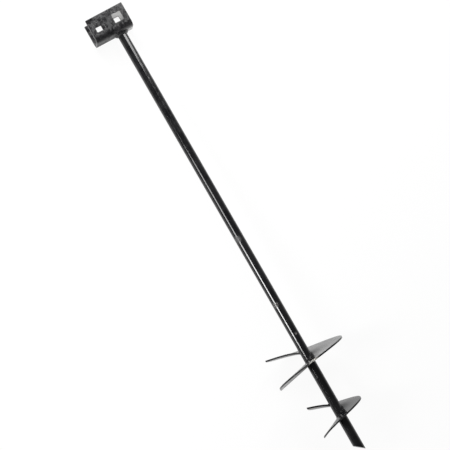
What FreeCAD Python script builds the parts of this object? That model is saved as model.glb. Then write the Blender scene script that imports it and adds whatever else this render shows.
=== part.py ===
import FreeCAD, Part
import Sketcher
import math
import os

# A helix ground anchor: a round bar with a sheared point, a folded double head welded
# across its top, and two split discs pulled open into single right-hand turns and welded
# near its lower end.
#
# Every piece is drawn in the anchor's own frame, in millimetres: the bar's axis is the Z
# axis, the underside of the head is at height 0, the head is above and the point below.
# X runs along the head and Y runs through its two flanges. One placement, the same for
# every piece, then lays the anchor down as it comes to rest: on the long edge of the back
# flange and on the rim of the upper plate.

# Driving dimensions: name, value and what it measures. Lengths are in millimetres and
# angles in degrees. An azimuth is turned about the bar, from +X towards +Y.
DIMENSIONS = (
    ("rod_diameter", 19, "round bar"),
    ("rod_length", 920, "from the underside of the head to the tip of the point"),
    ("point_angle", 39, "slope of the sheared point"),
    ("head_width", 79, "length of the channel"),
    ("head_height", 49, "height of the flanges, web included"),
    ("head_depth", 50.8, "over both flanges"),
    ("sheet_thickness", 4.8, "flat steel of the head"),
    ("bend_inner_radius", 7, "inside of the two folds"),
    ("head_offset", 13.9, "from the middle of the head to the bar's axis"),
    ("flange_corner", 1, "rounding of the flanges' upper corners"),
    ("head_edge_bevel", 0.7, "eased edge of the blanked sheet, on its outer side"),
    ("hole_side", 19, "square bolt hole"),
    ("hole_corner", 1.6, "rounding in the corners of a bolt hole"),
    ("hole_spacing", 39.2, "between the middles of the two holes in a flange"),
    ("hole_height", 27.3, "from the underside of the head to the middle of a hole"),
    ("head_weld_leg", 5.5, "fillet round the top of the bar"),
    ("plate_thickness", 3.2, "both plates"),
    ("plate_clearance", 0.25, "between the bar and the bore of a plate"),
    ("upper_plate_diameter", 152, "rim of the upper plate"),
    ("upper_plate_depth", 716.5, "from the head's underside to the middle of its turn"),
    ("upper_rim_pitch", 62.5, "rise in a whole turn at the rim"),
    ("upper_bore_pitch", 31, "rise in a whole turn at the bore"),
    ("upper_turn_angle", 356, "from one cut edge to the other"),
    ("upper_plate_azimuth", -21, "middle of the turn, opposite the cut"),
    ("lower_plate_diameter", 99.4, "rim of the lower plate"),
    ("lower_plate_depth", 830.5, "from the head's underside to the middle of its turn"),
    ("lower_rim_pitch", 64, "rise in a whole turn at the rim"),
    ("lower_bore_pitch", 34, "rise in a whole turn at the bore"),
    ("lower_turn_angle", 354, "from one cut edge to the other"),
    ("lower_plate_azimuth", 0, "middle of the turn, opposite the cut"),
    ("plate_weld_leg", 5, "fillet between a plate and the bar"),
    ("plate_weld_seat", 0.05, "between that fillet and the faces it lies on"),
    ("plate_weld_stop_angle", 5, "left bare at each end of that fillet"),
)

ALONG_X = FreeCAD.Vector(1, 0, 0)
ALONG_Y = FreeCAD.Vector(0, 1, 0)
ALONG_Z = FreeCAD.Vector(0, 0, 1)
ORIGIN = FreeCAD.Vector(0, 0, 0)

doc = FreeCAD.newDocument("helix_ground_anchor")
sheet = doc.addObject("Spreadsheet::Sheet", "Sizes")
for row, (name, value, note) in enumerate(DIMENSIONS, start=1):
    sheet.set(f"A{row}", name)
    sheet.set(f"B{row}", str(value))
    sheet.set(f"C{row}", note)
    sheet.setAlias(f"B{row}", name)
doc.recompute()


def size(name):
    """A driving dimension, as the sheet holds it."""
    return float(getattr(sheet, name))


def new_body(label):
    body = doc.addObject("PartDesign::Body", label)
    body.Label = label
    return body


def new_sketch(body, name, plane_role):
    """A sketch on one of the body's own origin planes."""
    plane = next(f for f in body.Origin.OriginFeatures if f.Role == plane_role)
    sketch = body.newObject("Sketcher::SketchObject", name)
    sketch.AttachmentSupport = [(plane, "")]
    sketch.MapMode = "FlatFace"
    return sketch


def bind(sketch, constraint, name, expression):
    """Adds a named dimension to a sketch and ties it to the sheet."""
    index = sketch.addConstraint(constraint)
    sketch.renameConstraint(index, name)
    sketch.setExpression(f"Constraints.{name}", expression)


def closed_outline(sketch, corners):
    """Straight lines from corner to corner, joined end to end; returns their numbers."""
    points = [FreeCAD.Vector(x, y, 0) for x, y in corners]
    lines = []
    for start, end in zip(points, points[1:] + points[:1]):
        lines.append(sketch.addGeometry(Part.LineSegment(start, end), False))
    for line, following in zip(lines, lines[1:] + lines[:1]):
        sketch.addConstraint(Sketcher.Constraint("Coincident", line, 2, following, 1))
    return lines


def edges_where(shape, test):
    """Names of the shape's edges that pass a test."""
    return [f"Edge{i}" for i, edge in enumerate(shape.Edges, start=1) if test(edge)]


def runs_along(edge, direction):
    """True for a straight edge parallel to a direction."""
    if not isinstance(edge.Curve, Part.Line):
        return False
    return edge.tangentAt(edge.FirstParameter).cross(direction).Length < 1e-6


def near(first, second, tolerance=0.01):
    return abs(first - second) < tolerance


def must_remove(feature, before):
    """Stops the build if a cut took nothing away."""
    doc.recompute()
    if feature.Shape.Volume >= before.Shape.Volume:
        raise RuntimeError(f"{feature.Label} cuts nothing")


def channel_section(body):
    """The folded sheet seen along the channel: web below, one flange on each side."""
    half_depth = size("head_depth") / 2
    height = size("head_height")
    sheet_thickness = size("sheet_thickness")
    inner = size("bend_inner_radius")
    outer = inner + sheet_thickness
    bend_middle = half_depth - outer
    left, down, right = math.pi, 1.5 * math.pi, 2 * math.pi

    sketch = new_sketch(body, "channel_section", "YZ_Plane")

    def line(x1, y1, x2, y2):
        segment = Part.LineSegment(FreeCAD.Vector(x1, y1, 0), FreeCAD.Vector(x2, y2, 0))
        return sketch.addGeometry(segment, False)

    def bend(x, radius, first, last):
        circle = Part.Circle(FreeCAD.Vector(x, outer, 0), ALONG_Z, radius)
        return sketch.addGeometry(Part.ArcOfCircle(circle, first, last), False)

    front_outside = line(-half_depth, height, -half_depth, outer)
    front_fold_outside = bend(-bend_middle, outer, left, down)
    web_outside = line(-bend_middle, 0, bend_middle, 0)
    back_fold_outside = bend(bend_middle, outer, down, right)
    back_outside = line(half_depth, outer, half_depth, height)
    back_top = line(half_depth, height, half_depth - sheet_thickness, height)
    back_inside = line(half_depth - sheet_thickness, height, half_depth - sheet_thickness, outer)
    back_fold_inside = bend(bend_middle, inner, down, right)
    web_inside = line(bend_middle, sheet_thickness, -bend_middle, sheet_thickness)
    front_fold_inside = bend(-bend_middle, inner, left, down)
    front_inside = line(-half_depth + sheet_thickness, outer, -half_depth + sheet_thickness, height)
    front_top = line(-half_depth + sheet_thickness, height, -half_depth, height)

    smooth_joints = (
        (front_outside, 2, front_fold_outside, 1),
        (front_fold_outside, 2, web_outside, 1),
        (web_outside, 2, back_fold_outside, 1),
        (back_fold_outside, 2, back_outside, 1),
        (back_inside, 2, back_fold_inside, 2),
        (back_fold_inside, 1, web_inside, 1),
        (web_inside, 2, front_fold_inside, 2),
        (front_fold_inside, 1, front_inside, 1),
    )
    for joint in smooth_joints:
        sketch.addConstraint(Sketcher.Constraint("Tangent", *joint))
    square_joints = (
        (back_outside, 2, back_top, 1),
        (back_top, 2, back_inside, 1),
        (front_inside, 2, front_top, 1),
        (front_top, 2, front_outside, 1),
    )
    for joint in square_joints:
        sketch.addConstraint(Sketcher.Constraint("Coincident", *joint))
    sketch.addConstraint(Sketcher.Constraint("Coincident", front_fold_outside, 3, front_fold_inside, 3))
    sketch.addConstraint(Sketcher.Constraint("Coincident", back_fold_outside, 3, back_fold_inside, 3))
    for upright in (front_outside, back_outside, back_inside, front_inside):
        sketch.addConstraint(Sketcher.Constraint("Vertical", upright))
    for level in (back_top, web_inside, front_top):
        sketch.addConstraint(Sketcher.Constraint("Horizontal", level))
    sketch.addConstraint(Sketcher.Constraint("Symmetric", web_outside, 1, web_outside, 2, -2))
    sketch.addConstraint(Sketcher.Constraint("PointOnObject", web_outside, 1, -1))
    sketch.addConstraint(Sketcher.Constraint("Equal", front_fold_outside, back_fold_outside))
    sketch.addConstraint(Sketcher.Constraint("Horizontal", front_top, 2, back_top, 1))
    bind(sketch, Sketcher.Constraint("DistanceX", front_outside, 1, back_outside, 2, 2 * half_depth),
         "over_flanges", "Sizes.head_depth")
    bind(sketch, Sketcher.Constraint("DistanceY", -1, 1, back_outside, 2, height),
         "flange_height", "Sizes.head_height")
    bind(sketch, Sketcher.Constraint("DistanceX", front_top, 2, front_top, 1, sheet_thickness),
         "sheet", "Sizes.sheet_thickness")
    bind(sketch, Sketcher.Constraint("Radius", front_fold_inside, inner),
         "fold", "Sizes.bend_inner_radius")
    sketch.setExpression("AttachmentOffset.Base.z", "-Sizes.head_offset")
    return sketch


def head_bracket():
    """The double head: folded from one flat blank with four square holes."""
    body = new_body("head_bracket")
    channel = body.newObject("PartDesign::Pad", "channel")
    channel.Profile = channel_section(body)
    channel.SideType = "Symmetric"
    channel.setExpression("Length", "Sizes.head_width")
    doc.recompute()

    square = new_sketch(body, "bolt_hole", "XZ_Plane")
    half_side = size("hole_side") / 2
    middle_x = -size("head_offset") - size("hole_spacing") / 2
    middle_z = size("hole_height")
    low_x, high_x = middle_x - half_side, middle_x + half_side
    low_z, high_z = middle_z - half_side, middle_z + half_side
    lines = closed_outline(square, ((low_x, low_z), (high_x, low_z), (high_x, high_z), (low_x, high_z)))
    for line, direction in zip(lines, ("Horizontal", "Vertical", "Horizontal", "Vertical")):
        square.addConstraint(Sketcher.Constraint(direction, line))
    bind(square, Sketcher.Constraint("DistanceX", lines[0], 1, lines[0], 2, 2 * half_side),
         "across", "Sizes.hole_side")
    bind(square, Sketcher.Constraint("DistanceY", lines[1], 1, lines[1], 2, 2 * half_side),
         "upright", "Sizes.hole_side")
    bind(square, Sketcher.Constraint("DistanceX", lines[0], 1, -1, 1, -low_x),
         "from_axis", "Sizes.head_offset + (Sizes.hole_spacing + Sizes.hole_side) / 2")
    bind(square, Sketcher.Constraint("DistanceY", -1, 1, lines[0], 1, low_z),
         "above_web", "Sizes.hole_height - Sizes.hole_side / 2")
    bolt_way = body.newObject("PartDesign::Pocket", "bolt_way")
    bolt_way.Profile = square
    bolt_way.Type = "ThroughAll"
    bolt_way.SideType = "Symmetric"
    must_remove(bolt_way, channel)

    both_ways = body.newObject("PartDesign::LinearPattern", "bolt_ways")
    both_ways.Originals = [bolt_way]
    both_ways.Direction = (square, ["H_Axis"])
    both_ways.setExpression("Length", "Sizes.hole_spacing")
    both_ways.Occurrences = 2
    body.Tip = both_ways
    must_remove(both_ways, bolt_way)

    half_depth = size("head_depth") / 2
    top = size("head_height")
    fold = size("bend_inner_radius") + size("sheet_thickness")

    def hole_corner(edge):
        height = edge.CenterOfMass.z
        return runs_along(edge, ALONG_Y) and near(abs(height - middle_z), half_side)

    def flange_corner(edge):
        return runs_along(edge, ALONG_Y) and near(edge.CenterOfMass.z, top)

    def outer_outline(edge):
        middle = edge.CenterOfMass
        if isinstance(edge.Curve, Part.Circle) and near(edge.Curve.Radius, fold):
            return True
        if runs_along(edge, ALONG_Y):
            return near(middle.z, 0)
        if runs_along(edge, ALONG_X) and near(middle.z, fold):
            return False
        return near(edge.BoundBox.YLength, 0) and near(abs(middle.y), half_depth)

    def eased(base, kind, name, test, measure, alias):
        feature = body.newObject(f"PartDesign::{kind}", name)
        feature.Base = (base, edges_where(base.Shape, test))
        feature.setExpression(measure, f"Sizes.{alias}")
        doc.recompute()
        return feature

    holes = eased(both_ways, "Fillet", "hole_corners", hole_corner, "Radius", "hole_corner")
    corners = eased(holes, "Fillet", "flange_corners", flange_corner, "Radius", "flange_corner")
    eased(corners, "Chamfer", "eased_edges", outer_outline, "Size", "head_edge_bevel")
    return body


def rod():
    """The round bar, butted under the head and sheared to a point at its foot."""
    body = new_body("rod")
    section = new_sketch(body, "bar_section", "XY_Plane")
    circle = section.addGeometry(Part.Circle(ORIGIN, ALONG_Z, size("rod_diameter") / 2), False)
    section.addConstraint(Sketcher.Constraint("Coincident", circle, 3, -1, 1))
    bind(section, Sketcher.Constraint("Diameter", circle, size("rod_diameter")),
         "bar_diameter", "Sizes.rod_diameter")
    bar = body.newObject("PartDesign::Pad", "bar")
    bar.Profile = section
    bar.Reversed = True
    bar.setExpression("Length", "Sizes.rod_length")
    doc.recompute()

    # The shear leaves the whole length on the +X side and slopes up across the bar.
    shear = new_sketch(body, "shear_cut", "XZ_Plane")
    radius = size("rod_diameter") / 2
    foot = -size("rod_length")
    reach = 3 * radius
    rise = reach * math.tan(math.radians(size("point_angle")))
    slope, upright, level = closed_outline(
        shear, ((radius, foot), (radius - reach, foot + rise), (radius - reach, foot)))
    shear.addConstraint(Sketcher.Constraint("Vertical", upright))
    shear.addConstraint(Sketcher.Constraint("Horizontal", level))
    bind(shear, Sketcher.Constraint("DistanceX", -1, 1, slope, 1, radius),
         "tip_side", "Sizes.rod_diameter / 2")
    bind(shear, Sketcher.Constraint("DistanceY", slope, 1, -1, 1, -foot),
         "tip_depth", "Sizes.rod_length")
    bind(shear, Sketcher.Constraint("DistanceX", level, 1, level, 2, reach),
         "cut_reach", "Sizes.rod_diameter * 1.5")
    bind(shear, Sketcher.Constraint("DistanceY", upright, 2, upright, 1, rise),
         "cut_rise", "Sizes.rod_diameter * 1.5 * tan(Sizes.point_angle)")
    point = body.newObject("PartDesign::Pocket", "point")
    point.Profile = shear
    point.Type = "ThroughAll"
    point.SideType = "Symmetric"
    must_remove(point, bar)
    return body


def head_weld(bracket):
    """The fillet that joins the bar to the head, and fills in under the two folds."""
    ring = new_body("head_weld_ring")
    profile = new_sketch(ring, "fillet_section", "XZ_Plane")
    radius = size("rod_diameter") / 2
    leg = size("head_weld_leg")
    bed = size("sheet_thickness") / 2
    level, outside, face, inside = closed_outline(
        profile, ((radius, bed), (radius + leg, bed), (radius + leg, 0), (radius, -leg)))
    profile.addConstraint(Sketcher.Constraint("Horizontal", level))
    profile.addConstraint(Sketcher.Constraint("Vertical", outside))
    profile.addConstraint(Sketcher.Constraint("Vertical", inside))
    profile.addConstraint(Sketcher.Constraint("PointOnObject", outside, 2, -1))
    bind(profile, Sketcher.Constraint("DistanceX", -1, 1, inside, 1, radius),
         "bar_side", "Sizes.rod_diameter / 2")
    bind(profile, Sketcher.Constraint("DistanceX", level, 1, level, 2, leg),
         "leg_across", "Sizes.head_weld_leg")
    bind(profile, Sketcher.Constraint("DistanceY", face, 2, -1, 1, leg),
         "leg_down", "Sizes.head_weld_leg")
    bind(profile, Sketcher.Constraint("DistanceY", -1, 1, level, 1, bed),
         "bed", "Sizes.sheet_thickness / 2")
    turned = ring.newObject("PartDesign::Revolution", "fillet_ring")
    turned.Profile = profile
    turned.ReferenceAxis = (profile, ["V_Axis"])
    turned.Angle = 360
    doc.recompute()

    weld = doc.addObject("Part::Cut", "head_weld")
    weld.Label = "head_weld"
    weld.Base = ring
    weld.Tool = bracket
    must_remove(weld, ring)
    return ring, weld


# A plate is a flat disc with a round bore, cut once from rim to bore and pulled open. Its
# rim ends up further apart than its bore, so the rim and the bore follow two helices of
# different pitch that are level with each other in the middle of the turn, and a straight
# line from the bar joins them at every azimuth.

def bore_radius():
    return size("rod_diameter") / 2 + size("plate_clearance")


def plate_curve(plate, edge, radius):
    """One of the two helices that a plate's lower face is drawn between."""
    turn = f"Sizes.{plate}_turn_angle"
    pitch = f"Sizes.{plate}_{edge}_pitch"
    curve = doc.addObject("Part::Helix", f"{plate}_{edge}_helix")
    curve.Placement = FreeCAD.Placement(ORIGIN, FreeCAD.Rotation(ALONG_Z, 1))
    curve.setExpression("Pitch", pitch)
    curve.setExpression("Height", f"{pitch} * {turn} / 360")
    curve.setExpression("Radius", radius)
    curve.setExpression("Placement.Rotation.Angle", f"Sizes.{plate}_plate_azimuth - {turn} / 2")
    curve.setExpression("Placement.Base.z", f"-Sizes.{plate}_plate_depth - {pitch} * {turn} / 720"
                                            " - Sizes.plate_thickness / 2")
    return curve


def helix_plate(plate):
    """A split disc pulled open into a single right-hand turn."""
    bore = plate_curve(plate, "bore", "Sizes.rod_diameter / 2 + Sizes.plate_clearance")
    rim = plate_curve(plate, "rim", f"Sizes.{plate}_plate_diameter / 2")
    lower_face = doc.addObject("Part::RuledSurface", f"{plate}_lower_face")
    lower_face.Curve1 = (bore, ["Edge1"])
    lower_face.Curve2 = (rim, ["Edge1"])
    disc = doc.addObject("Part::Extrusion", f"{plate}_helix_plate")
    disc.Label = f"{plate}_helix_plate"
    disc.Base = lower_face
    disc.DirMode = "Custom"
    disc.Dir = ALONG_Z
    disc.Solid = True
    disc.setExpression("LengthFwd", "Sizes.plate_thickness")
    return disc


def helix_weld(plate):
    """The fillet along the top of a plate where it meets the bar."""
    rod_radius = size("rod_diameter") / 2
    leg = size("plate_weld_leg")
    seat = size("plate_weld_seat")
    bore_pitch = size(f"{plate}_bore_pitch")
    rim_pitch = size(f"{plate}_rim_pitch")
    rim_radius = size(f"{plate}_plate_diameter") / 2
    turn = size(f"{plate}_turn_angle") - 2 * size("plate_weld_stop_angle")
    first_azimuth = size(f"{plate}_plate_azimuth") - turn / 2
    plate_top = -size(f"{plate}_plate_depth") + size("plate_thickness") / 2

    def corner_curve(outwards, upwards):
        """The helix that a corner of the fillet follows, over the plate's top face."""
        radius = rod_radius + outwards
        share = (radius - bore_radius()) / (rim_radius - bore_radius())
        pitch = bore_pitch + (rim_pitch - bore_pitch) * share
        height = pitch * turn / 360
        curve = Part.makeHelix(pitch, height, radius)
        curve.rotate(ORIGIN, ALONG_Z, first_azimuth)
        curve.translate(ALONG_Z * (plate_top + upwards - height / 2))
        return curve.Edges[0]

    corners = (corner_curve(seat, seat), corner_curve(leg, seat), corner_curve(seat, leg))
    faces = []
    for first, second in zip(corners, corners[1:] + corners[:1]):
        faces.append(Part.makeRuledSurface(first, second))
    for parameter in ("FirstParameter", "LastParameter"):
        ends = [curve.valueAt(getattr(curve, parameter)) for curve in corners]
        faces.append(Part.Face(Part.makePolygon(ends + ends[:1])))
    shell = Part.makeShell(faces)
    shell.sewShape()
    solid = Part.makeSolid(Part.Shell(shell.Faces))
    if solid.Volume < 0:
        solid.reverse()
    weld = doc.addObject("Part::Feature", f"{plate}_helix_weld")
    weld.Label = f"{plate}_helix_weld"
    weld.Shape = solid
    return weld


def lying_turn():
    """The turn that lays the anchor down, front flange up and point along +X.

    The back flange's long edge and the upper plate's rim then touch one level surface.
    """
    flat = FreeCAD.Rotation(ALONG_Y, -ALONG_Z, -ALONG_X, "ZXY")
    lowest_azimuth = 90
    quarter = (lowest_azimuth - size("upper_plate_azimuth")) / 360
    rim_depth = (size("upper_plate_depth") - size("upper_rim_pitch") * quarter
                 - size("plate_thickness") / 2)
    run = rim_depth + size("head_height") - size("head_edge_bevel")
    climb = size("upper_plate_diameter") / 2 - size("head_depth") / 2
    tilt = math.degrees(math.atan2(climb, run))
    return FreeCAD.Rotation(ALONG_Y, -tilt) * flat


bracket = head_bracket()
bar = rod()
fillet_ring, top_weld = head_weld(bracket)
plates = [helix_plate("upper"), helix_plate("lower")]
plate_welds = [helix_weld("upper"), helix_weld("lower")]
sub_parts = [bracket, bar, *plates, top_weld, *plate_welds]
# The head weld is trimmed where its ring and the bracket lie, so it follows those two.
carried = [bracket, fillet_ring, bar, *plates, *plate_welds]


def lay_down(placement):
    for piece in carried:
        piece.Placement = placement
    doc.recompute()


turn = lying_turn()
lay_down(FreeCAD.Placement(ORIGIN, turn))
box = FreeCAD.BoundBox()
for piece in sub_parts:
    box.add(piece.Shape.optimalBoundingBox(False, False))
to_origin = FreeCAD.Vector(-box.Center.x, -box.Center.y, -box.ZMin)
lay_down(FreeCAD.Placement(to_origin, turn))

for piece in doc.Objects:
    if "Invalid" in piece.State or "Error" in piece.State:
        raise RuntimeError(f"{piece.Label} did not compute: {piece.State}")
for piece in sub_parts:
    if piece.Shape.isNull() or not piece.Shape.isValid():
        raise RuntimeError(f"{piece.Label} has no valid shape")

os.makedirs("parts", exist_ok=True)
for piece in sub_parts:
    piece.Shape.exportStep(f"parts/{piece.Label}.step")
    print(piece.Label, len(piece.Shape.Solids), "solid", round(piece.Shape.Volume), "mm3")
print("overall", [round(length, 1) for length in (box.XLength, box.YLength, box.ZLength)])
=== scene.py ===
"""Looks of a screw-in ground anchor that lies on a white floor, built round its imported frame.

Each piece is modelled upright in millimetres, with the bar's axis on Z, the underside of the
head's web at height 0 and the head's length along X, and is then laid down where the frame has it.
"""

import logging
import math
import random
from dataclasses import dataclass
from enum import Enum

import bmesh
import bpy
from mathutils import Matrix, Vector

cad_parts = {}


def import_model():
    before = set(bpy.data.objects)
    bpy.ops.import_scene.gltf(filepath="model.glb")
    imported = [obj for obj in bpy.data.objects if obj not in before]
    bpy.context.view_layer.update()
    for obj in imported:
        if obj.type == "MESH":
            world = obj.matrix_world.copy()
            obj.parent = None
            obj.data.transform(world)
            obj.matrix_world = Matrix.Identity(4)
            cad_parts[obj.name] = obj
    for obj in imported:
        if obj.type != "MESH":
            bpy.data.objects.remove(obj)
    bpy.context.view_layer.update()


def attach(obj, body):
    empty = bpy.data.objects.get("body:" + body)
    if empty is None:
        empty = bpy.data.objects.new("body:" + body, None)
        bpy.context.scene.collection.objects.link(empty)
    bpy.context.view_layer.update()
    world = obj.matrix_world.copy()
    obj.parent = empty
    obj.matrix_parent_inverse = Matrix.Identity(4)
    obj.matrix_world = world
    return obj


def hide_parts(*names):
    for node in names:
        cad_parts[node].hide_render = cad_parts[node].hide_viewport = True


log = logging.getLogger("ground_anchor")

Point = tuple[float, float, float]
Colour = tuple[float, float, float]
Span = tuple[float, float]
Socket = bpy.types.NodeSocket

MILLIMETRE = 0.001
QUARTER_TURN = math.radians(90.0)
FULL_TURN = 2 * math.pi
WHITE = (1.0, 1.0, 1.0, 1.0)
EDGE_SAMPLES = 4

BAR_DIAMETER = 19.0

# How near counts as the same place, in millimetres.
CUT_WITHIN = 0.0001
TOUCHING = 0.001
NEAR = 0.01
MARGIN = 0.1

# Cosines from which a face looks, or an edge runs, straight through the flanges.
FACING = 0.999
ALONG = 0.99

# Sockets of a Mix node for what it mixes: the first input, the second, and the result.
MIX_SOCKETS = {"RGBA": (6, 7, 2), "FLOAT": (2, 3, 0)}


class Wear(Enum):
    """How the paint of a piece has been knocked about."""

    HANDLED = "handled"
    DRAGGED = "dragged"
    WELDED = "welded"


@dataclass(frozen=True)
class LyingPlace:
    """Where the upright anchor comes to rest on the ground.

    Attributes:
        tilt: slope of the bar, in degrees, from the head up to the point.
        web: place of the web's underside on the bar's axis, in metres.
    """

    tilt: float = 3.891081
    web: Point = (-0.43367153, 0.0, 0.02862211)

    def from_upright(self) -> Matrix:
        """Matrix that takes upright millimetres to lying metres.

        Returns:
            The matrix.
        """
        slope = math.radians(self.tilt)
        along_head = Vector((0.0, 1.0, 0.0))
        through_flanges = Vector((math.sin(slope), 0.0, -math.cos(slope)))
        up_the_bar = Vector((-math.cos(slope), 0.0, -math.sin(slope)))
        turn = Matrix((along_head, through_flanges, up_the_bar)).transposed().to_4x4()
        return Matrix.Translation(Vector(self.web)) @ turn @ Matrix.Scale(MILLIMETRE, 4)


@dataclass(frozen=True)
class Pattern:
    """A noise pattern of the paint.

    Attributes:
        scale: lumps to the metre.
        detail: finer octaves.
        rough: strength of the finer octaves.
    """

    scale: float
    detail: float
    rough: float


COAT = Pattern(38.0, 3.0, 0.55)
CLOUDS = Pattern(150.0, 4.0, 0.6)
FLECKS = Pattern(520.0, 3.0, 0.6)
ORANGE_PEEL = Pattern(900.0, 2.0, 0.5)
MILL_SCALE = Pattern(210.0, 5.0, 0.62)


@dataclass(frozen=True)
class ScuffOrPaintedLight:
    """A patch where the paint is worn or dull, or a patch of painted reflection or highlight.

    Attributes:
        place: its middle, in metres.
        reach: how far it spreads from there, in metres.
        cover: how much of the clean paint is gone, from 0 to 1.
        tint: colour of what shows instead; on a painted reflection or highlight, the colour of the
            painted light.
        rough: roughness there.
        even: whether it covers evenly and not in flecks.
        core: share of the reach within which it is full.
        flecked: noise levels between which a fleck goes from none to full.
    """

    place: Point
    reach: float
    cover: float
    tint: Colour = (0.30, 0.29, 0.28)
    rough: float = 0.5
    even: bool = False
    core: float = 0.2
    flecked: Span = (0.42, 0.60)


@dataclass(frozen=True)
class GlossPaint:
    """Black gloss paint, dipped over hot-rolled steel, with fine dust, handling marks and any
    painted reflections and highlights given to it.

    Attributes:
        wear: which kind of marks the piece has.
        thin: colour where the coat is thin.
        full: colour where the coat is full.
        gloss: roughness of a clean full coat.
        dull: roughness where it is dusty or thin.
        blotch: noise levels between which it goes from gloss to dull.
        peel: height of the fine waviness of the coat, in metres.
        scale: height of the mill scale that shows through, in metres.
        dust: how dusty it is, from 0; more dust means more light specks.
        grain: number of specks to the metre.
        edge: width of the thin coat along the edges, in metres.
        index: refractive index of the paint.
        sheared: direction that a cut face left rough by the shear looks in, if there is one.
        scuffs_and_painted_light: worn or dull patches, and patches of painted reflection and
            highlight.
        thinned: noise levels between which the coat goes from full to thin.
        specked: noise levels between which a speck goes from none to full, without dust.
        speck_gain: how far dust of 1 would lower the first of these levels.
        dusted: noise levels between which the dust goes from none to full.
        chipped: noise levels between which the wear of an edge goes from none to full.
        dust_tint: colour of the dust.
        dust_cover: how much of the paint a speck hides.
        edge_tint: colour of a worn edge.
        edge_cover: how much of the paint an edge has lost.
        edge_rough: roughness of a worn edge.
        edge_turn: cosines of the edge's turn at which its wear starts and is full.
        shear_rough: roughness of the sheared face.
        shear_turn: cosines at which a face starts to count as sheared, and does so fully.
    """

    wear: Wear
    thin: Colour = (0.012, 0.012, 0.013)
    full: Colour = (0.004, 0.004, 0.005)
    gloss: float = 0.12
    dull: float = 0.24
    blotch: Span = (0.35, 0.72)
    peel: float = 0.000006
    scale: float = 0.000015
    dust: float = 0.10
    grain: float = 1500.0
    edge: float = 0.0012
    index: float = 1.6
    sheared: Point | None = None
    scuffs_and_painted_light: tuple[ScuffOrPaintedLight, ...] = ()
    thinned: Span = (0.38, 0.66)
    specked: Span = (0.72, 0.80)
    speck_gain: float = 0.6
    dusted: Span = (0.45, 0.70)
    chipped: Span = (0.30, 0.62)
    dust_tint: Colour = (0.150, 0.145, 0.145)
    dust_cover: float = 0.75
    edge_tint: Colour = (0.085, 0.082, 0.080)
    edge_cover: float = 0.6
    edge_rough: float = 0.26
    edge_turn: Span = (0.995, 0.90)
    shear_rough: float = 0.80
    shear_turn: Span = (0.93, 0.98)

    def material(self, name: str) -> bpy.types.Material:
        """Makes the finish as a node material on object coordinates.

        Args:
            name: name of the material.

        Returns:
            The material.
        """
        material = bpy.data.materials.new(name)
        material.use_nodes = True
        board = NodeBoard(material.node_tree)
        board.clear()
        where = board.add("ShaderNodeTexCoord").outputs["Object"]
        clouds = board.noise(where, CLOUDS)
        colour = board.blend(board.ramp(board.noise(where, COAT), *self.thinned),
                             self.full, self.thin)
        rough = board.reach(board.ramp(clouds, *self.blotch), self.gloss, self.dull)

        dusty = board.product(self.specks(board, where), board.ramp(clouds, *self.dusted))
        colour = board.blend(board.product(dusty, self.dust_cover), colour, self.dust_tint)

        worn = board.product(self.edges(board), self.edge_cover)
        colour = board.blend(board.product(worn, board.ramp(clouds, *self.chipped)),
                             colour, self.edge_tint)
        rough = board.mix_value(worn, rough, self.edge_rough)

        # Worn or dull patches, and patches of painted reflection and highlight, laid over the
        # paint.
        for scuff_or_light in self.scuffs_and_painted_light:
            mask = self.patch(board, where, scuff_or_light)
            colour = board.blend(mask, colour, scuff_or_light.tint)
            rough = board.mix_value(mask, rough, scuff_or_light.rough)
        if self.sheared is not None:
            rough = board.mix_value(self.turned(board, self.sheared), rough, self.shear_rough)

        relief = board.bump(board.noise(where, ORANGE_PEEL), self.peel, None)
        relief = board.bump(board.noise(where, MILL_SCALE), self.scale, relief)
        shader = board.add("ShaderNodeBsdfPrincipled")
        board.link(colour, shader.inputs["Base Color"])
        board.link(rough, shader.inputs["Roughness"])
        shader.inputs["IOR"].default_value = self.index
        board.link(relief, shader.inputs["Normal"])
        out = board.add("ShaderNodeOutputMaterial")
        board.link(shader.outputs["BSDF"], out.inputs["Surface"])
        return material

    def specks(self, board: "NodeBoard", where: Socket) -> Socket:
        """Mask of the dust's specks.

        Args:
            board: the material's nodes.
            where: object coordinates.

        Returns:
            A socket that is 1 on a speck.
        """
        low, high = self.specked
        grains = board.noise(where, Pattern(self.grain, detail=2.0, rough=0.5))
        return board.ramp(grains, low - self.dust * self.speck_gain, high)

    def edges(self, board: "NodeBoard") -> Socket:
        """Mask of the edges, where the coat has drawn thin.

        Args:
            board: the material's nodes.

        Returns:
            A socket that is 0 on a flat face and rises towards an edge.
        """
        rounded = board.add("ShaderNodeBevel")
        rounded.samples = EDGE_SAMPLES
        rounded.inputs["Radius"].default_value = self.edge
        true = board.add("ShaderNodeNewGeometry").outputs["Normal"]
        return board.ramp(board.compare("DOT_PRODUCT", rounded.outputs["Normal"], true),
                          *self.edge_turn)

    def turned(self, board: "NodeBoard", way: Point) -> Socket:
        """Mask of the faces that look in one direction.

        Args:
            board: the material's nodes.
            way: the direction.

        Returns:
            A socket that is 1 on a face that looks that way.
        """
        true = board.add("ShaderNodeNewGeometry").outputs["Normal"]
        return board.ramp(board.compare("DOT_PRODUCT", true, way), *self.shear_turn)

    def patch(self, board: "NodeBoard", where: Socket, scuff_or_light: ScuffOrPaintedLight) -> Socket:
        """Mask of one worn or dull patch, or of one painted reflection or highlight, ragged at its
        edge unless it is even.

        Args:
            board: the material's nodes.
            where: object coordinates.
            scuff_or_light: the patch.

        Returns:
            A socket that is the share of the clean paint that is covered.
        """
        away = board.compare("DISTANCE", where, scuff_or_light.place)
        near = board.ramp(away, scuff_or_light.reach, scuff_or_light.reach * scuff_or_light.core)
        if not scuff_or_light.even:
            near = board.product(near, board.ramp(board.noise(where, FLECKS), *scuff_or_light.flecked))
        return board.product(near, scuff_or_light.cover)


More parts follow.
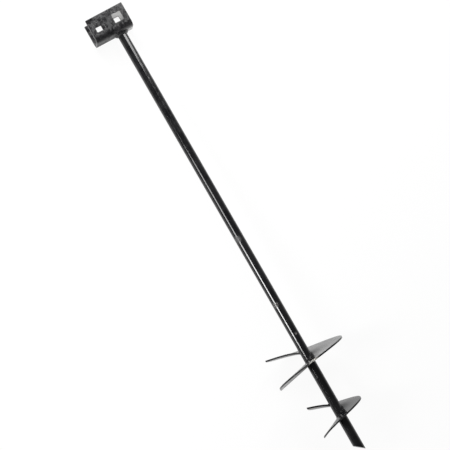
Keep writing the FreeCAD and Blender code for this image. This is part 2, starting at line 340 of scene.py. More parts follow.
class NodeBoard:
    """Short ways to set nodes and join them in one node tree."""

    def __init__(self, tree: bpy.types.NodeTree) -> None:
        """Takes the tree that the nodes go into.

        Args:
            tree: the node tree.
        """
        self.tree = tree

    def clear(self) -> None:
        """Empties the tree."""
        self.tree.nodes.clear()

    def add(self, kind: str) -> bpy.types.Node:
        """Adds a node of a kind and returns it."""
        return self.tree.nodes.new(kind)

    def link(self, source: Socket, target: Socket) -> None:
        """Joins two sockets."""
        self.tree.links.new(source, target)

    def feed(self, value: Socket | Colour | float, target: Socket) -> None:
        """Links a socket, or sets a number or colour, on an input.

        Args:
            value: a socket, a number, or a colour of three numbers.
            target: the input.
        """
        if isinstance(value, Socket):
            self.link(value, target)
        elif isinstance(value, tuple):
            target.default_value = (*value, 1.0)
        else:
            target.default_value = value

    def noise(self, where: Socket, pattern: Pattern) -> Socket:
        """Adds a noise pattern.

        Args:
            where: coordinates.
            pattern: its sizes.

        Returns:
            The pattern's value, from 0 to 1.
        """
        node = self.add("ShaderNodeTexNoise")
        node.inputs["Scale"].default_value = pattern.scale
        node.inputs["Detail"].default_value = pattern.detail
        node.inputs["Roughness"].default_value = pattern.rough
        self.link(where, node.inputs["Vector"])
        return node.outputs["Fac"]

    def ramp(self, value: Socket, low: float, high: float) -> Socket:
        """Takes low to 0 and high to 1, smoothly and without passing either.

        Args:
            value: the value to stretch.
            low: what becomes 0.
            high: what becomes 1.

        Returns:
            The stretched value.
        """
        return self.reach(value, 0.0, 1.0, low, high, "SMOOTHSTEP")

    def reach(self, value: Socket, first: float, last: float, low: float = 0.0,
              high: float = 1.0, curve: str = "LINEAR") -> Socket:
        """Takes the range from low to high to the one from first to last.

        Args:
            value: the value to stretch.
            first: what low becomes.
            last: what high becomes.
            low: lower end of the value.
            high: upper end of the value.
            curve: how it goes between them.

        Returns:
            The stretched value.
        """
        node = self.add("ShaderNodeMapRange")
        node.interpolation_type = curve
        node.inputs["From Min"].default_value = low
        node.inputs["From Max"].default_value = high
        node.inputs["To Min"].default_value = first
        node.inputs["To Max"].default_value = last
        self.link(value, node.inputs["Value"])
        return node.outputs["Result"]

    def sum_of(self, operation: str, first: Socket | float, second: Socket | float) -> Socket:
        """Works out one sum of two values.

        Args:
            operation: the sum's name.
            first: a socket or a number.
            second: a socket or a number.

        Returns:
            The result.
        """
        node = self.add("ShaderNodeMath")
        node.operation = operation
        self.feed(first, node.inputs[0])
        self.feed(second, node.inputs[1])
        return node.outputs["Value"]

    def product(self, first: Socket | float, second: Socket | float) -> Socket:
        """Multiplies two values."""
        return self.sum_of("MULTIPLY", first, second)

    def compare(self, operation: str, first: Socket, second: Socket | Point) -> Socket:
        """Works out one number from two places or directions.

        Args:
            operation: the sum's name, such as their distance or dot product.
            first: the first place or direction.
            second: the second, a socket or three numbers.

        Returns:
            The number.
        """
        node = self.add("ShaderNodeVectorMath")
        node.operation = operation
        self.link(first, node.inputs[0])
        if isinstance(second, Socket):
            self.link(second, node.inputs[1])
        else:
            node.inputs[1].default_value = second
        return node.outputs["Value"]

    def blend(self, factor: Socket, base: Socket | Colour, over: Socket | Colour) -> Socket:
        """Lays one colour over another, which shows by the factor."""
        return self.mix("RGBA", factor, base, over)

    def mix_value(self, factor: Socket, base: Socket | float, over: Socket | float) -> Socket:
        """Goes from one number to another by the factor."""
        return self.mix("FLOAT", factor, base, over)

    def mix(self, kind: str, factor: Socket, base: Socket | Colour | float,
            over: Socket | Colour | float) -> Socket:
        """Mixes two colours or two numbers.

        Args:
            kind: what is mixed, as the node calls it.
            factor: how much of the second shows.
            base: the first.
            over: the second.

        Returns:
            The mixture.
        """
        first, second, result = MIX_SOCKETS[kind]
        node = self.add("ShaderNodeMix")
        node.data_type = kind
        self.link(factor, node.inputs[0])
        self.feed(base, node.inputs[first])
        self.feed(over, node.inputs[second])
        return node.outputs[result]

    def overlay(self, factor: Socket, base: bpy.types.Node, over: bpy.types.Node) -> Socket:
        """Lays one shader over another.

        Args:
            factor: how much of the upper shader shows.
            base: the lower shader.
            over: the upper shader.

        Returns:
            The mixed shader.
        """
        node = self.add("ShaderNodeMixShader")
        self.link(factor, node.inputs[0])
        self.link(base.outputs[0], node.inputs[1])
        self.link(over.outputs[0], node.inputs[2])
        return node.outputs[0]

    def bump(self, height: Socket, depth: float, below: Socket | None) -> Socket:
        """Adds relief to the surface.

        Args:
            height: the relief, from 0 to 1.
            depth: its full height, in metres.
            below: relief that it lies on, if any.

        Returns:
            The relief's normal.
        """
        node = self.add("ShaderNodeBump")
        node.inputs["Strength"].default_value = 1.0
        node.inputs["Distance"].default_value = depth
        self.link(height, node.inputs["Height"])
        if below is not None:
            self.link(below, node.inputs["Normal"])
        return node.outputs["Normal"]


@dataclass
class AnchorPiece:
    """One piece of the anchor, which stands for one node of the frame.

    Attributes:
        node: the node's name.
        paint: its finish.
        crease: angle above which an edge is kept sharp, in degrees.
    """

    node: str
    paint: GlossPaint
    crease: float = 40.0

    def model(self, form: bmesh.types.BMesh) -> None:
        """Models the piece, upright and in millimetres; each kind of piece has its own way."""
        raise NotImplementedError

    def build(self, place: LyingPlace) -> bpy.types.Object:
        """Models the piece, lays it down, paints it and ties it to the frame.

        Args:
            place: where the anchor lies.

        Returns:
            The finished object.
        """
        form = bmesh.new()
        self.model(form)
        bmesh.ops.remove_doubles(form, verts=form.verts, dist=TOUCHING)
        bmesh.ops.recalc_face_normals(form, faces=form.faces)
        bmesh.ops.transform(form, matrix=place.from_upright(), verts=form.verts)
        mesh = bpy.data.meshes.new("painted_" + self.node)
        form.to_mesh(mesh)
        form.free()
        mesh.shade_smooth()
        mesh.set_sharp_from_angle(angle=math.radians(self.crease))
        piece = bpy.data.objects.new("painted_" + self.node, mesh)
        bpy.context.scene.collection.objects.link(piece)
        even = piece.modifiers.new("even_shading", "WEIGHTED_NORMAL")
        even.keep_sharp = True
        mesh.materials.append(self.paint.material(f"{self.node}_gloss_paint"))
        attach(piece, "root")
        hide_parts(self.node)
        log.info("%s: %d faces, %s paint", piece.name, len(mesh.polygons), self.paint.wear.value)
        return piece


def drawn_out(form: bmesh.types.BMesh, edges: list[bmesh.types.BMEdge],
              step: Point) -> list[bmesh.types.BMEdge]:
    """Draws a row of edges out into faces.

    Args:
        form: the mesh.
        edges: the edges to draw out.
        step: how far and which way.

    Returns:
        The new edges at the far side.
    """
    made = bmesh.ops.extrude_edge_only(form, edges=edges)["geom"]
    moved = [part for part in made if isinstance(part, bmesh.types.BMVert)]
    bmesh.ops.translate(form, verts=moved, vec=Vector(step))
    return [part for part in made if isinstance(part, bmesh.types.BMEdge)
            and all(vertex in moved for vertex in part.verts)]


def bevelled(form: bmesh.types.BMesh, edges: list[bmesh.types.BMEdge], width: float,
             segments: int = 3) -> None:
    """Rounds edges.

    Args:
        form: the mesh.
        edges: the edges.
        width: how far back the rounding starts, in millimetres.
        segments: number of facets in it.
    """
    bmesh.ops.bevel(form, geom=edges, offset=width, offset_type="OFFSET", affect="EDGES",
                    segments=segments, profile=0.5, material=-1, clamp_overlap=True)


def sharp_edges(form: bmesh.types.BMesh, least: float = 60.0) -> list[bmesh.types.BMEdge]:
    """Edges whose two faces stand at more than an angle to each other, in degrees."""
    return [edge for edge in form.edges
            if edge.is_manifold and edge.calc_face_angle() > math.radians(least)]


def cylindrical(point: Vector) -> tuple[float, float]:
    """Distance of a point from the bar's axis, and its azimuth in radians."""
    return math.hypot(point.x, point.y), math.atan2(point.y, point.x)


@dataclass
class Bar(AnchorPiece):
    """The round bar with its sheared point.

    Attributes:
        diameter: of the bar.
        length: from the web to the tip.
        point: slope of the shear cut, in degrees.
        sides: facets round the bar.
        eased: rounding of the cut's edge.
    """

    diameter: float = BAR_DIAMETER
    length: float = 920.0
    point: float = 39.0
    sides: int = 96
    eased: float = 0.35

    def model(self, form: bmesh.types.BMesh) -> None:
        """Draws out a disc to the bar's length, shears its foot and breaks the cut's edge.

        Args:
            form: the empty mesh.
        """
        radius = self.diameter / 2
        bmesh.ops.create_circle(form, cap_ends=True, radius=radius, segments=self.sides)
        made = bmesh.ops.extrude_face_region(form, geom=form.faces[:])["geom"]
        foot = [part for part in made if isinstance(part, bmesh.types.BMVert)]
        bmesh.ops.translate(form, verts=foot, vec=(0.0, 0.0, -self.length))
        rise = math.tan(math.radians(self.point))
        cut = bmesh.ops.bisect_plane(
            form, geom=form.verts[:] + form.edges[:] + form.faces[:], dist=CUT_WITHIN,
            plane_co=(radius, 0.0, -self.length), plane_no=(-rise, 0.0, -1.0), clear_outer=True)
        rim = [part for part in cut["geom_cut"] if isinstance(part, bmesh.types.BMEdge)]
        bmesh.ops.contextual_create(form, geom=rim)
        broken = [edge for edge in form.edges if edge in rim and edge.is_manifold]
        bevelled(form, broken, self.eased, segments=2)


@dataclass
class ChannelHead(AnchorPiece):
    """The head: a flat strip folded into a channel, with two square holes in each flange.

    Attributes:
        width: along the head.
        offset: how far the head's middle stands from the bar's axis.
        height: from the web's underside to the flanges' upper edges.
        depth: over both flanges.
        sheet: thickness of the strip.
        bend: inner radius of the folds.
        corner: rounding of the flanges' upper corners.
        hole: side of a square hole.
        hole_corner: rounding in its corners.
        hole_pitch: from one hole's middle to the next.
        hole_height: of the holes' middles.
        eased: rounding of all outlines.
        fold_steps: facets in a fold.
        corner_steps: facets in a rounded corner.
    """

    width: float = 79.0
    offset: float = 13.9
    height: float = 49.0
    depth: float = 50.8
    sheet: float = 4.8
    bend: float = 7.0
    corner: float = 1.0
    hole: float = 19.0
    hole_corner: float = 1.6
    hole_pitch: float = 39.2
    hole_height: float = 27.3
    eased: float = 0.6
    fold_steps: int = 12
    corner_steps: int = 5

    def model(self, form: bmesh.types.BMesh) -> None:
        """Folds the strip, cuts its holes, gives it its thickness and eases its outlines.

        Args:
            form: the empty mesh.
        """
        left = -self.offset - self.width / 2
        right = left + self.width
        turn = self.bend + self.sheet
        half = self.depth / 2
        start = [form.verts.new((x, -half, self.height)) for x in (left, right)]
        rim = [form.edges.new(start)]
        rim = drawn_out(form, rim, (0.0, 0.0, turn - self.height))
        rim = self.folded(form, rim, (0.0, turn - half, turn))
        rim = drawn_out(form, rim, (0.0, self.depth - 2 * turn, 0.0))
        rim = self.folded(form, rim, (0.0, half - turn, turn))
        drawn_out(form, rim, (0.0, 0.0, self.height - turn))
        bmesh.ops.remove_doubles(form, verts=form.verts, dist=TOUCHING)
        self.pierced(form)
        bmesh.ops.recalc_face_normals(form, faces=form.faces)
        outward = max(form.faces, key=lambda face: -face.calc_center_median().y)
        inward = 1.0 if outward.normal.y < 0 else -1.0
        bmesh.ops.solidify(form, geom=form.faces[:], thickness=self.sheet * inward)
        self.rounded(form)
        bevelled(form, sharp_edges(form), self.eased)

    def folded(self, form: bmesh.types.BMesh, rim: list[bmesh.types.BMEdge],
               centre: Point) -> list[bmesh.types.BMEdge]:
        """Folds the strip by a quarter turn.

        Args:
            form: the mesh.
            rim: the strip's free edge.
            centre: the fold's axis.

        Returns:
            The free edge after the fold.
        """
        ends = [vertex for edge in rim for vertex in edge.verts]
        made = bmesh.ops.spin(form, geom=rim + ends, cent=centre, axis=(1.0, 0.0, 0.0),
                              dvec=(0.0, 0.0, 0.0), angle=QUARTER_TURN, steps=self.fold_steps,
                              use_merge=False, use_normal_flip=False, use_duplicate=False)
        return [part for part in made["geom_last"] if isinstance(part, bmesh.types.BMEdge)]

    def hole_middles(self) -> tuple[float, float]:
        """Places of the two holes along the head."""
        return (-self.offset - self.hole_pitch / 2, -self.offset + self.hole_pitch / 2)

    def pierced(self, form: bmesh.types.BMesh) -> None:
        """Scores both flanges along the holes' sides and takes out the squares.

        Args:
            form: the mesh, still a strip without thickness.
        """
        reach = self.hole / 2
        scores = [((x + side, 0.0, 0.0), (1.0, 0.0, 0.0))
                  for x in self.hole_middles() for side in (-reach, reach)]
        scores += [((0.0, 0.0, self.hole_height + side), (0.0, 0.0, 1.0))
                   for side in (-reach, reach)]
        for place, normal in scores:
            flanges = [face for face in form.faces if abs(face.normal.y) > FACING]
            parts = set(flanges)
            parts.update(edge for face in flanges for edge in face.edges)
            parts.update(vertex for face in flanges for vertex in face.verts)
            bmesh.ops.bisect_plane(form, geom=list(parts), dist=CUT_WITHIN, plane_co=place,
                                   plane_no=normal)
            form.normal_update()
        slugs = [face for face in form.faces if abs(face.normal.y) > FACING
                 and self.in_a_hole(face.calc_center_median())]
        bmesh.ops.delete(form, geom=slugs, context="FACES")

    def in_a_hole(self, point: Vector, slack: float = 0.0) -> bool:
        """Whether a point of a flange lies in a hole's square, or within the slack of it."""
        reach = self.hole / 2 + slack
        return abs(point.z - self.hole_height) < reach and any(
            abs(point.x - x) < reach for x in self.hole_middles())

    def rounded(self, form: bmesh.types.BMesh) -> None:
        """Rounds the holes' corners and the flanges' upper corners.

        Args:
            form: the mesh, with its full thickness.
        """
        holes = [edge for edge in self.through_sheet(form)
                 if self.in_a_hole(edge.verts[0].co, NEAR)]
        bevelled(form, holes, self.hole_corner, self.corner_steps)
        upper = [edge for edge in self.through_sheet(form)
                 if all(vertex.co.z > self.height - NEAR for vertex in edge.verts)]
        bevelled(form, upper, self.corner, self.corner_steps)
        form.normal_update()

    def through_sheet(self, form: bmesh.types.BMesh) -> list[bmesh.types.BMEdge]:
        """Corner edges that run straight through the thickness of a flange."""
        form.normal_update()
        return [edge for edge in sharp_edges(form, least=80.0)
                if abs((edge.verts[0].co - edge.verts[1].co).normalized().y) > ALONG]


@dataclass
class HelixPlate(AnchorPiece):
    """A round plate with a bore, slit once from bore to rim and pulled open into a turn.

    Attributes:
        diameter: over the rim.
        depth: of its middle below the head.
        rim_pitch: rise of the rim in a full turn.
        bore_pitch: rise of the bore in a full turn.
        droop: how much less the bore rises near the upper cut edge, in a full turn.
        lift: how much more the rim rises near the upper cut edge, in a full turn.
        drop: how much more the rim falls near the lower cut edge, in a full turn.
        sway: how far the rim swings off an even rise.
        swings: how many such swings go round a full turn.
        curl: how far the upper cut edge is bent, from 0, which is straight, to 1.
        turn: how far it goes round, in degrees.
        azimuth: of its middle, in degrees.
        thickness: of the plate.
        bore: radius of the bore.
        eased: rounding of its edges.
        steps: facets round the turn.
        rings: rows of points from bore to rim.
    """

    diameter: float = 152.0
    depth: float = 716.5
    rim_pitch: float = 62.5
    bore_pitch: float = 31.0
    droop: float = 7.5
    lift: float = 1.4
    drop: float = -5.7
    sway: float = 0.9
    swings: float = 1.5
    curl: float = 0.45
    turn: float = 356.0
    azimuth: float = -21.0
    thickness: float = 3.2
    bore: float = BAR_DIAMETER / 2 + 0.25
    eased: float = 0.45
    steps: int = 172
    rings: int = 20

    def model(self, form: bmesh.types.BMesh) -> None:
        """Turns the plate's section round the bar, eases its edges and pulls the turn open.

        Args:
            form: the empty mesh.
        """
        reach = self.diameter / 2 - self.bore
        bmesh.ops.create_grid(form, x_segments=self.rings, y_segments=1, size=0.5)
        bmesh.ops.scale(form, verts=form.verts, vec=(reach, self.thickness, 1.0))
        bmesh.ops.rotate(form, verts=form.verts, cent=(0.0, 0.0, 0.0),
                         matrix=Matrix.Rotation(QUARTER_TURN, 3, "X"))
        bmesh.ops.translate(form, verts=form.verts, vec=(self.bore + reach / 2, 0.0, 0.0))
        swept(form, self.turn, self.steps)
        bevelled(form, sharp_edges(form), self.eased)
        self.pull_open(form)

    def pull_open(self, form: bmesh.types.BMesh) -> None:
        """Pulls a flat turn open into the plate's helix and puts it at its place on the bar.

        Args:
            form: the mesh, flat, with the slit at the back.
        """
        for vertex in form.verts:
            radius, angle = cylindrical(vertex.co)
            vertex.co.z += self.height_at(radius, angle)
        bmesh.ops.rotate(form, verts=form.verts, cent=(0.0, 0.0, 0.0),
                         matrix=Matrix.Rotation(math.radians(self.azimuth), 3, "Z"))
        bmesh.ops.translate(form, verts=form.verts, vec=(0.0, 0.0, -self.depth))

    def height_at(self, radius: float, angle: float) -> float:
        """How high a place of the flat turn stands once it is pulled open.

        Args:
            radius: its distance from the bar's axis.
            angle: its azimuth from the turn's middle, in radians, up towards the upper cut edge.

        Returns:
            The height over the turn's middle.
        """
        out = max(radius - self.bore, 0.0) / (self.diameter / 2 - self.bore)
        near_upper = max(angle / math.pi, 0.0) ** 2
        near_lower = max(-angle / math.pi, 0.0) ** 2
        bore_rise = self.bore_pitch - self.droop * near_upper
        rim_rise = self.rim_pitch + self.lift * near_upper + self.drop * near_lower
        pitch = bore_rise + (rim_rise - bore_rise) * out ** (1.0 - self.curl * near_upper)
        return pitch * angle / FULL_TURN - self.sway * math.sin(self.swings * angle) * out


def swept(form: bmesh.types.BMesh, turn: float, steps: int) -> None:
    """Sweeps a section in the XZ plane round the Z axis, half the turn to each side.

    Args:
        form: the mesh, with only the section in it.
        turn: how far it goes round, in degrees.
        steps: facets in the turn.
    """
    bmesh.ops.rotate(form, verts=form.verts, cent=(0.0, 0.0, 0.0),
                     matrix=Matrix.Rotation(math.radians(-turn / 2), 3, "Z"))
    bmesh.ops.spin(form, geom=form.verts[:] + form.edges[:] + form.faces[:],
                   cent=(0.0, 0.0, 0.0), axis=(0.0, 0.0, 1.0), dvec=(0.0, 0.0, 0.0),
                   angle=math.radians(turn), steps=steps, use_merge=False,
                   use_normal_flip=False, use_duplicate=False)
    bmesh.ops.recalc_face_normals(form, faces=form.faces)
    form.normal_update()


class Ripple:
    """The overlapping scales of a weld bead, uneven as a hand leaves them."""

    SHIFT = 0.22
    SMALLEST, LARGEST = 0.6, 1.3
    ROUNDNESS = 0.7

    def __init__(self, seed: int, scales: int, height: float) -> None:
        """Sets out the scales.

        Args:
            seed: of the uneven spacing.
            scales: how many go round a full turn.
            height: of a scale.
        """
        chance = random.Random(seed)
        self.scales = scales
        self.height = height
        self.shift = [chance.uniform(-self.SHIFT, self.SHIFT) for _ in range(scales + 1)]
        self.size = [chance.uniform(self.SMALLEST, self.LARGEST) for _ in range(scales + 1)]

    def at(self, angle: float) -> float:
        """Height of the bead's surface at an azimuth.

        Args:
            angle: azimuth, in radians.

        Returns:
            The height, from half a scale below the bead to half a scale above it.
        """
        run = (angle / FULL_TURN) % 1.0 * self.scales
        index = int(run)
        part = run - index
        step = min(max(part + self.shift[index] * math.sin(math.pi * part), 0.0), 1.0)
        return self.height * self.size[index] * (math.sin(math.pi * step) ** self.ROUNDNESS - 0.5)


@dataclass
class PlateWeld(AnchorPiece):
    """The fillet along a plate's bore, on the side towards the head.

    Attributes:
        plate: the plate that it holds.
        bar: radius of the bar.
        leg: of the fillet.
        seat: how far the bead stands off both.
        short: how far it stops short of each end of the turn, in degrees.
        seed: of its uneven scales.
        scales: how many go round a full turn.
        scale_height: of a scale.
        crown: how far the bead bulges.
        slant: how far a scale leans back across the leg, in radians.
        fade: length over which the bead dies away at each end.
        blunt: how much of it is lost there, from 0 to 1.
        steps: facets round the turn.
        cuts: extra rows of points down its face.
    """

    plate: HelixPlate | None = None
    bar: float = BAR_DIAMETER / 2
    leg: float = 3.2
    seat: float = 0.05
    short: float = 5.0
    seed: int = 3
    scales: int = 30
    scale_height: float = 0.24
    crown: float = 0.55
    slant: float = 0.18
    fade: float = 3.5
    blunt: float = 0.75
    steps: int = 300
    cuts: int = 7

    def model(self, form: bmesh.types.BMesh) -> None:
        """Sweeps a three-cornered section round the bar, crowns and ripples it, and opens it.

        Args:
            form: the empty mesh.
        """
        foot = self.plate.thickness / 2 + self.seat
        inner = self.bar + self.seat
        outline = ((inner, foot), (inner + self.leg, foot), (inner, foot + self.leg))
        section = form.faces.new([form.verts.new((x, 0.0, z)) for x, z in outline])
        slope = [edge for edge in section.edges
                 if all(abs(v.co.x - inner) + abs(v.co.z - foot) > NEAR for v in edge.verts)]
        bmesh.ops.subdivide_edges(form, edges=slope, cuts=self.cuts)
        turn = self.plate.turn - 2 * self.short
        swept(form, turn, self.steps)
        ripple = Ripple(self.seed, self.scales, self.scale_height)
        for vertex in form.verts:
            radius, angle = cylindrical(vertex.co)
            across = (radius - inner) / self.leg
            up = (vertex.co.z - foot) / self.leg
            on_face = min(across, up) if abs(across + up - 1.0) < NEAR else 0.0
            push = on_face * (self.crown + ripple.at(angle + self.slant * across))
            to_end = (math.radians(turn / 2) - abs(angle)) * radius
            keep = math.sqrt(1.0 - (1.0 - min(to_end / self.fade, 1.0)) ** 2 * self.blunt)
            reach = (across * self.leg * keep + push + inner) / radius
            vertex.co.x *= reach
            vertex.co.y *= reach
            vertex.co.z = foot + up * self.leg * keep + push
        self.plate.pull_open(form)


@dataclass
class HeadWeld(AnchorPiece):
    """The fillet that joins the bar to the web and fills in under the two folds.

    Attributes:
        head: the head that it holds.
        bar: radius of the bar.
        leg: of the fillet.
        rooted: how far it reaches into the bar.
        buried: how far it reaches into the web.
        seed: of its uneven scales.
        scales: how many go round.
        scale_height: of a scale.
        lump_seed: of its uneven lumps.
        lumps: how many go round.
        lump_height: of a lump.
        crown: how far the bead bulges.
        lean: share of the bulge that goes outwards, and as much down.
        slant: how far a scale leans back across the leg, in radians.
        steps: facets round the bar.
        cuts: extra rows of points down its face.
    """

    head: ChannelHead | None = None
    bar: float = BAR_DIAMETER / 2
    leg: float = 5.5
    rooted: float = 0.3
    buried: float = 0.4
    seed: int = 11
    scales: int = 26
    scale_height: float = 0.45
    lump_seed: int = 5
    lumps: int = 5
    lump_height: float = 0.9
    crown: float = 0.7
    lean: float = 0.7
    slant: float = 0.2
    steps: int = 320
    cuts: int = 8

    def model(self, form: bmesh.types.BMesh) -> None:
        """Sweeps a three-cornered section round the bar and lets it run up under the folds.

        Args:
            form: the empty mesh.
        """
        inner = self.bar - self.rooted
        outer = self.bar + self.leg
        outline = ((inner, self.buried), (outer, self.buried), (outer, 0.0),
                   (self.bar, -self.leg), (inner, -self.leg))
        section = form.faces.new([form.verts.new((x, 0.0, z)) for x, z in outline])
        slope = [edge for edge in section.edges
                 if all(v.co.x > self.bar - MARGIN and v.co.z < MARGIN for v in edge.verts)]
        bmesh.ops.subdivide_edges(form, edges=slope, cuts=self.cuts)
        bmesh.ops.delete(form, geom=form.faces[:], context="FACES_ONLY")
        bmesh.ops.spin(form, geom=form.verts[:] + form.edges[:], cent=(0.0, 0.0, 0.0),
                       axis=(0.0, 0.0, 1.0), dvec=(0.0, 0.0, 0.0), angle=FULL_TURN,
                       steps=self.steps, use_merge=True, use_normal_flip=False,
                       use_duplicate=False)
        ripple = Ripple(self.seed, self.scales, self.scale_height)
        lumps = Ripple(self.lump_seed, self.lumps, self.lump_height)
        for vertex in form.verts:
            radius, angle = cylindrical(vertex.co)
            across = (radius - self.bar) / self.leg
            down = min(max(-vertex.co.z / self.leg, 0.0), 1.0)
            if across > NEAR and vertex.co.z <= TOUCHING:
                middle = 4.0 * across * down
                bulge = middle * (self.crown + ripple.at(angle + self.slant * across))
                spread = bulge * self.lean + across * lumps.at(angle)
                vertex.co.x *= 1.0 + spread / radius
                vertex.co.y *= 1.0 + spread / radius
                vertex.co.z -= bulge * self.lean
            vertex.co.z += across * self.under_fold(vertex.co.y)

    def under_fold(self, y: float) -> float:
        """Height of the head's underside at a distance from the bar's axis.

        Args:
            y: distance through the flanges.

        Returns:
            The height over the web's underside.
        """
        turn = self.head.bend + self.head.sheet
        past = min(max(abs(y) - (self.head.depth / 2 - turn), 0.0), turn)
        return turn - math.sqrt(turn ** 2 - past ** 2)


@dataclass(frozen=True)
class StudioFloor:
    """A white floor that still takes the anchor's shadow.

    Attributes:
        reach: half its side, in metres.
        squares: how many its side is split into.
        white: share of its own white where it is seen, which keeps the background clean.
        grey: how light it is to the anchor.
        mirrored: share of its own white where the anchor's gloss mirrors it.
    """

    reach: float = 14.0
    squares: int = 8
    white: float = 0.92
    grey: float = 0.68
    mirrored: float = 0.50

    def build(self) -> bpy.types.Object:
        """Lays the floor.

        Returns:
            The floor's object.
        """
        form = bmesh.new()
        bmesh.ops.create_grid(form, x_segments=self.squares, y_segments=self.squares,
                              size=self.reach)
        mesh = bpy.data.meshes.new("studio_floor")
        form.to_mesh(mesh)
        form.free()
        floor = bpy.data.objects.new("studio_floor", mesh)
        bpy.context.scene.collection.objects.link(floor)
        mesh.materials.append(self.material())
        return floor

    def material(self) -> bpy.types.Material:
        """Makes the floor's material: matt white, with its own white added where it is seen.

        Returns:
            The material.
        """
        material = bpy.data.materials.new("studio_white")
        material.use_nodes = True
        board = NodeBoard(material.node_tree)
        board.clear()
        rays = board.add("ShaderNodeLightPath").outputs
        own = board.sum_of("ADD", board.product(rays["Is Camera Ray"], self.white),
                           board.product(rays["Is Glossy Ray"], self.mirrored))
        matt = board.add("ShaderNodeBsdfDiffuse")
        board.link(board.reach(rays["Is Camera Ray"], self.grey, 1.0), matt.inputs["Color"])
        glow = board.add("ShaderNodeEmission")
        glow.inputs["Color"].default_value = WHITE
        out = board.add("ShaderNodeOutputMaterial")
        board.link(board.overlay(own, matt, glow), out.inputs["Surface"])
        return material


@dataclass(frozen=True)
class StudioRoom:
    """The room round the floor: white to the eye, bright at the foot and dim overhead.

    Attributes:
        foot: light from the horizon.
        overhead: light from above.
        height: sine of the angle from which the light is that from above.
    """

    foot: float = 0.3
    overhead: float = 0.10
    height: float = 0.75

    def build(self) -> None:
        """Sets the world."""
        world = bpy.data.worlds.new("studio_room")
        bpy.context.scene.world = world
        world.use_nodes = True
        board = NodeBoard(world.node_tree)
        board.clear()
        way = board.add("ShaderNodeSeparateXYZ")
        board.link(board.add("ShaderNodeTexCoord").outputs["Generated"], way.inputs[0])
        level = board.reach(way.outputs["Z"], self.foot, self.overhead, 0.0, self.height,
                            "SMOOTHSTEP")
        room = board.add("ShaderNodeBackground")
        room.inputs["Color"].default_value = WHITE
        board.link(level, room.inputs["Strength"])
        seen = board.add("ShaderNodeBackground")
        seen.inputs["Color"].default_value = WHITE
        to_camera = board.add("ShaderNodeLightPath").outputs["Is Camera Ray"]
        out = board.add("ShaderNodeOutputWorld")
        board.link(board.overlay(to_camera, room, seen), out.inputs["Surface"])


def looking(place: Vector, target: Vector, up: Vector) -> Matrix:
    """Places a camera or lamp so that it looks at a point.

    Args:
        place: where it stands.
        target: what it looks at.
        up: which way its upper side faces, roughly.

    Returns:
        Its matrix.
    """
    forward = (target - place).normalized()
    right = forward.cross(up).normalized()
    turn = Matrix((right, right.cross(forward), -forward)).transposed().to_4x4()
    return Matrix.Translation(place) @ turn


@dataclass(frozen=True)
class SoftBox:
    """A studio lamp behind a rectangular diffuser.

    Attributes:
        name: of the lamp.
        place: where it stands, in metres.
        target: what it faces.
        long: its length along the anchor.
        tall: its other side.
        radiance: how bright its face is, where 1 is white.
    """

    name: str
    place: Point
    target: Point
    long: float
    tall: float
    radiance: float

    def build(self) -> None:
        """Hangs the lamp."""
        lamp = bpy.data.lights.new(self.name, "AREA")
        lamp.shape = "RECTANGLE"
        lamp.size = self.long
        lamp.size_y = self.tall
        lamp.energy = self.radiance * math.pi * self.long * self.tall
        stand = bpy.data.objects.new(self.name, lamp)
        bpy.context.scene.collection.objects.link(stand)
        away = Vector(self.place) - Vector(self.target)
        up = away.cross(Vector((1.0, 0.0, 0.0)))
        stand.matrix_world = looking(Vector(self.place), Vector(self.target), up)


@dataclass(frozen=True)
class Viewpoint:
    """The camera, about 4 m over the anchor, with a long lens.

    Attributes:
        place: where it stands, in metres.
        target: a point on its line of sight.
        up: which way the picture's top faces.
        lens: focal length, in millimetres.
        frame: width of the picture behind the lens, in millimetres.
        far: as far as it sees, in metres.
    """

    place: Point = (0.04818, -0.6365, 3.97051)
    target: Point = (-0.01397, -0.01074, 0.05544)
    up: Point = (-0.87224, 0.48059, 0.09066)
    lens: float = 166.39
    frame: float = 36.0
    far: float = 100.0

    def build(self) -> None:
        """Sets up the camera."""
        camera = bpy.data.cameras.new("camera")
        camera.sensor_width = self.frame
        camera.lens = self.lens
        camera.clip_end = self.far
        stand = bpy.data.objects.new("camera", camera)
        bpy.context.scene.collection.objects.link(stand)
        stand.matrix_world = looking(Vector(self.place), Vector(self.target), Vector(self.up))
        bpy.context.scene.camera = stand


# Marks and painted light on the head: a painted reflection, light grey, in the fold at the head's
# left end; a painted highlight, near-white and glossy, behind the right hole; and a darker, dull
# black patch under the web.
HEAD_MARKS_AND_PAINTED_LIGHT = (
    # Painted reflection of the floor: light grey inside the head.
    ScuffOrPaintedLight(place=(-0.4740, 0.0140, 0.0062), reach=0.024, cover=0.9,
          tint=(0.31, 0.31, 0.305), even=True),
    # Painted highlight: near-white and glossy.
    ScuffOrPaintedLight(place=(-0.4335, 0.0215, 0.0210), reach=0.020, cover=1.0,
          tint=(0.90, 0.90, 0.89), rough=0.10, even=True),
    # A darker, dull black patch.
    ScuffOrPaintedLight(place=(-0.4340, -0.0330, 0.0260), reach=0.040, cover=1.0,
          tint=(0.010, 0.010, 0.010), rough=0.70),
)
# A dull black patch next to the bar, and bare metal at the top of the upper cut edge.
UPPER_PLATE_SCUFFS = (
    ScuffOrPaintedLight(place=(0.2860, 0.0080, 0.0980), reach=0.040, cover=0.95,
          tint=(0.006, 0.006, 0.006), rough=0.30),
    ScuffOrPaintedLight(place=(0.2886, -0.0055, 0.1537), reach=0.014, cover=1.0, tint=(0.80, 0.78, 0.72)),
)
# A rubbed place halfway along, two small chips, and the clean stretch at the plates.
BAR_SCUFFS = (
    ScuffOrPaintedLight(place=(0.0220, -0.0054, 0.0671), reach=0.010, cover=1.0,
          tint=(0.08, 0.08, 0.08), even=True),
    ScuffOrPaintedLight(place=(0.1655, -0.0045, 0.0769), reach=0.008, cover=0.9),
    ScuffOrPaintedLight(place=(0.2306, 0.0017, 0.0824), reach=0.004, cover=0.8),
    ScuffOrPaintedLight(place=(0.3450, -0.0040, 0.0893), reach=0.060, cover=1.0,
          tint=(0.004, 0.004, 0.004), rough=0.05),
)

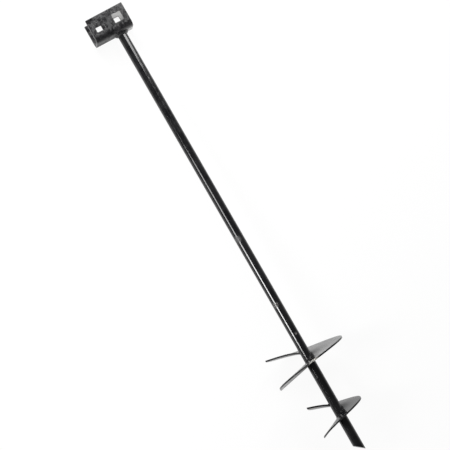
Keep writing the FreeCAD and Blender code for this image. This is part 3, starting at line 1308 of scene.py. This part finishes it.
HEAD_PAINT = GlossPaint(Wear.HANDLED, thin=(0.026, 0.025, 0.027), gloss=0.16, dull=0.42,
                        blotch=(0.42, 0.62), peel=0.00005, scale=0.00020, dust=0.32,
                        grain=330.0, scuffs_and_painted_light=HEAD_MARKS_AND_PAINTED_LIGHT)
BAR_PAINT = GlossPaint(Wear.DRAGGED, gloss=0.10, dull=0.18, peel=0.0000015, scale=0.000006,
                       dust=0.05, scuffs_and_painted_light=BAR_SCUFFS)
UPPER_PLATE_PAINT = GlossPaint(Wear.DRAGGED, sheared=(-0.0625, -0.390, 0.918),
                               scuffs_and_painted_light=UPPER_PLATE_SCUFFS)
LOWER_PLATE_PAINT = GlossPaint(Wear.DRAGGED)
HEAD_WELD_PAINT = GlossPaint(Wear.WELDED, gloss=0.14, peel=0.00001)
PLATE_WELD_PAINT = GlossPaint(Wear.WELDED, gloss=0.22, dull=0.30, dust=0.0, index=1.25)

LAMPS = (
    SoftBox("left_lamp", place=(0.020, -1.09, 1.10), target=(0.020, 0.0, 0.06),
            long=0.30, tall=0.50, radiance=21.5),
    SoftBox("left_fill", place=(-0.275, -1.04, 1.15), target=(-0.275, 0.0, 0.06),
            long=0.29, tall=0.55, radiance=8.0),
    SoftBox("right_lamp", place=(-0.97, 0.96, 1.15), target=(-0.97, 0.0, 0.04),
            long=0.50, tall=1.40, radiance=8.5),
    SoftBox("back_lamp", place=(-1.70, 0.0, 1.15), target=(0.0, 0.0, 0.06),
            long=1.0, tall=0.6, radiance=14.0),
)


def anchor_pieces() -> tuple[AnchorPiece, ...]:
    """Sets out the anchor's seven pieces.

    Returns:
        The pieces, from the bar and the head down to the lower plate's weld.
    """
    head = ChannelHead("head_bracket", HEAD_PAINT)
    upper = HelixPlate("upper_helix_plate", UPPER_PLATE_PAINT)
    lower = HelixPlate("lower_helix_plate", LOWER_PLATE_PAINT, diameter=99.4, depth=830.5,
                       rim_pitch=64.0, bore_pitch=34.0, droop=5.0, lift=-5.0, drop=0.0,
                       sway=1.6, curl=0.3, turn=354.0, azimuth=0.0)
    return (
        Bar("rod", BAR_PAINT),
        head,
        HeadWeld("head_weld", HEAD_WELD_PAINT, head=head),
        upper,
        PlateWeld("upper_helix_weld", PLATE_WELD_PAINT, plate=upper),
        lower,
        PlateWeld("lower_helix_weld", PLATE_WELD_PAINT, plate=lower, seed=8),
    )


def main() -> None:
    """Builds the anchor, its floor, its room, its lamps and its camera."""
    logging.basicConfig(level=logging.INFO, format="%(name)s: %(message)s")
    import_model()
    bpy.context.scene.view_settings.view_transform = "Standard"

    place = LyingPlace()
    for piece in anchor_pieces():
        piece.build(place)
    StudioFloor().build()
    StudioRoom().build()
    for lamp in LAMPS:
        lamp.build()
    Viewpoint().build()


if __name__ == "__main__":
    main()
